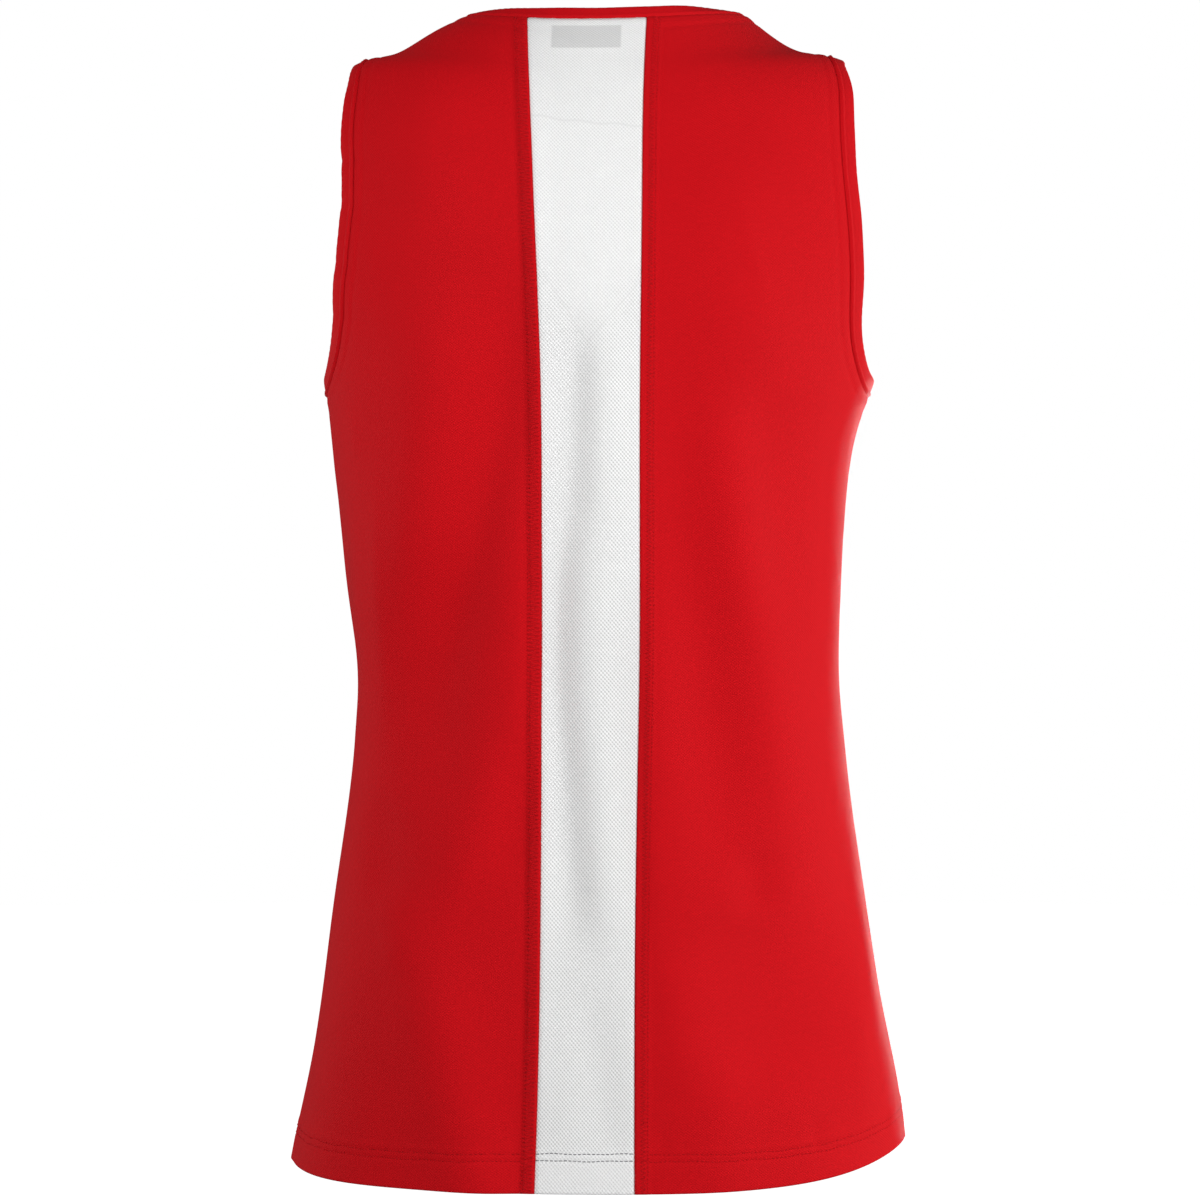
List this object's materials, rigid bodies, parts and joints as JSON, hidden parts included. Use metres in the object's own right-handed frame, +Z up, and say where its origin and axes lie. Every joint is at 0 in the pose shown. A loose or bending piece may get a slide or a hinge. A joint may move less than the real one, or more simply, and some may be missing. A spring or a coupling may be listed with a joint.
{
  "type": "tennis tank top",
  "caption": "Sleeveless knit sports top in its worn, hollow form: V neck, bound neck and armholes, a mesh strip down the centre back and a turned-up hem.",
  "frame": {"origin": "between the shoulders, level with the shoulder seams' inner ends, on the axis of the body", "axes": "+X to the wearer's left, +Y to the wearer's back, +Z up"},
  "size_m": [0.3325, 0.2272, 0.6306],
  "materials": {
    "red_knit": "fine pique knit, matt",
    "red_band": "folded rib binding, matt",
    "white_mesh": "small-hole mesh knit, matt",
    "label_tape": "blank woven tape"
  },
  "bodies": {
    "root": {"back_left": "red_knit", "back_right": "red_knit", "back_center": "white_mesh", "front": "red_knit", "neckband": "red_band", "armband_left": "red_band", "armband_right": "red_band", "neck_label": "label_tape"}
  },
  "joints": []
}
